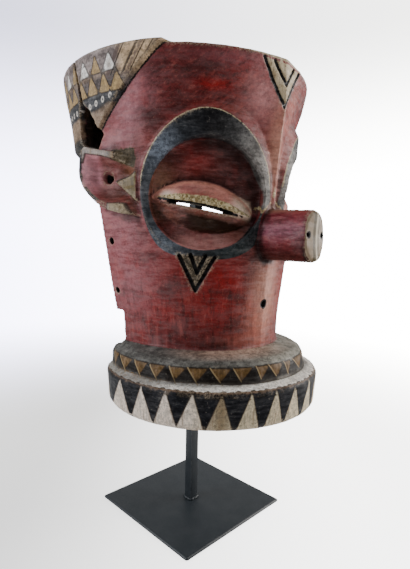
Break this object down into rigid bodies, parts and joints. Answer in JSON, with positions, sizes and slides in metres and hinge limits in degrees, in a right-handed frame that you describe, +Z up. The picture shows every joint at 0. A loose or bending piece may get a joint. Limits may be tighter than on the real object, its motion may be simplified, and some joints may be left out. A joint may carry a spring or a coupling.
{
  "type": "helmet mask",
  "caption": "Carved wooden helmet mask with cupped ears, sunk eye sockets, a tube nose and a stepped collar, on a steel post with a square base plate.",
  "frame": {"origin": "centre of the underside of the stand plate", "axes": "+Z up along the post, the face of the mask looks along -Y, +X towards the mask's own left"},
  "size_m": [0.2904, 0.3368, 0.5275],
  "materials": {
    "painted_wood": "worn matt paint",
    "dark_steel": "satin dark grey"
  },
  "bodies": {
    "root": {"mask": "painted_wood", "stand_post": "dark_steel", "stand_plate": "dark_steel"}
  },
  "joints": []
}
